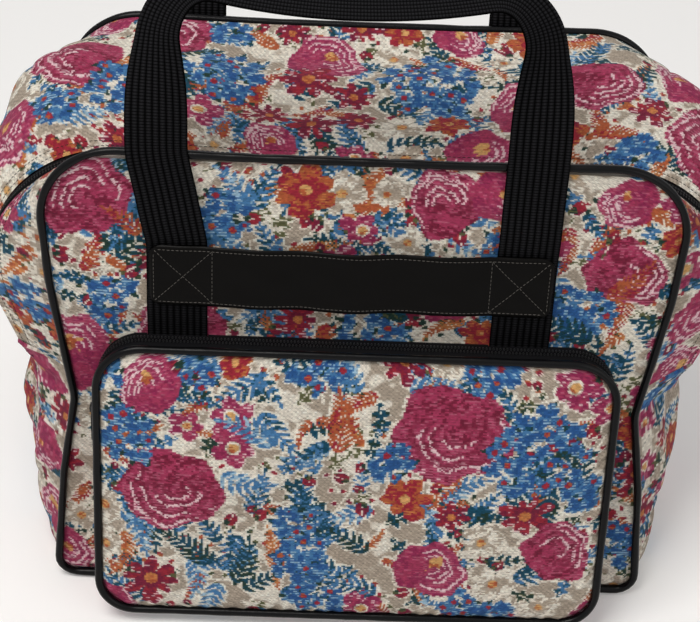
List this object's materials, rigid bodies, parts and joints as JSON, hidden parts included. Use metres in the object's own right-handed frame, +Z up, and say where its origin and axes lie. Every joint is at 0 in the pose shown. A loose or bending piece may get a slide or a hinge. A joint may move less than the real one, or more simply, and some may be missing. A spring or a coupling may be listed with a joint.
{
  "type": "tote bag",
  "caption": "Soft floral cloth tote bag with piped edges, a zipped top that runs down the sides, a zipped front pocket and webbing handles.",
  "frame": {"origin": "middle of the floor the bag stands on", "axes": "+X to the right as seen from the front, +Y to the back, +Z up"},
  "size_m": [0.5476, 0.3085, 0.4714],
  "materials": {
    "floral_cloth": "woven floral tapestry in rose, blue, green and taupe",
    "piping": "smooth black vinyl",
    "zip_tape": "black woven tape",
    "zip_teeth": "black nylon coil",
    "slider_metal": "black lacquer",
    "pull_cord": "black moulded loop",
    "webbing": "black ribbed webbing",
    "patch_vinyl": "smooth black vinyl, bare"
  },
  "bodies": {
    "bag": {"front_panel": "floral_cloth", "back_panel": "floral_cloth", "front_piping": "piping", "back_piping": "piping", "gusset_front": "floral_cloth", "gusset_rear": "floral_cloth", "gusset_bottom": "floral_cloth", "main_tape_front": "zip_tape", "main_tape_rear": "zip_tape", "main_teeth_front": "zip_teeth", "main_teeth_rear": "zip_teeth", "pocket_front": "floral_cloth", "pocket_gusset": "floral_cloth", "pocket_piping": "piping", "pocket_tape_inner": "zip_tape", "pocket_tape_outer": "zip_tape", "pocket_teeth_inner": "zip_teeth", "pocket_teeth_outer": "zip_teeth", "front_handle": "webbing", "back_handle": "webbing", "front_patch": "patch_vinyl"},
    "left_slider": {"main_slider_left": "slider_metal"},
    "left_pull": {"main_pull_left": "pull_cord"},
    "right_slider": {"main_slider_right": "slider_metal"},
    "right_pull": {"main_pull_right": "pull_cord"},
    "small_slider": {"pocket_slider": "slider_metal"},
    "small_pull": {"pocket_pull": "pull_cord"}
  },
  "joints": [
    {"name": "left_slider_travel", "type": "slide", "parent": "bag", "child": "left_slider", "axis": [-1, 0, 0], "range_m": [0, 0.04]},
    {"name": "left_pull_swing", "type": "hinge", "parent": "left_slider", "child": "left_pull", "pos_m": [-0.013, -0.04286, 0.33538], "axis": [0, 0.9978, -0.0656], "range_deg": [0, 95]},
    {"name": "right_slider_travel", "type": "slide", "parent": "bag", "child": "right_slider", "axis": [1, 0, 0], "range_m": [0, 0.04]},
    {"name": "right_pull_swing", "type": "hinge", "parent": "right_slider", "child": "right_pull", "pos_m": [0.013, -0.04286, 0.33538], "axis": [0, -0.9978, 0.0656], "range_deg": [0, 95]},
    {"name": "pocket_slider_travel", "type": "slide", "parent": "bag", "child": "small_slider", "axis": [0, 0.0656, 0.9978], "range_m": [0, 0.02]},
    {"name": "pocket_pull_swing", "type": "hinge", "parent": "small_slider", "child": "small_pull", "pos_m": [-0.1849, -0.10535, 0.16221], "axis": [0, 0.9978, -0.0656], "range_deg": [0, 150]}
  ]
}
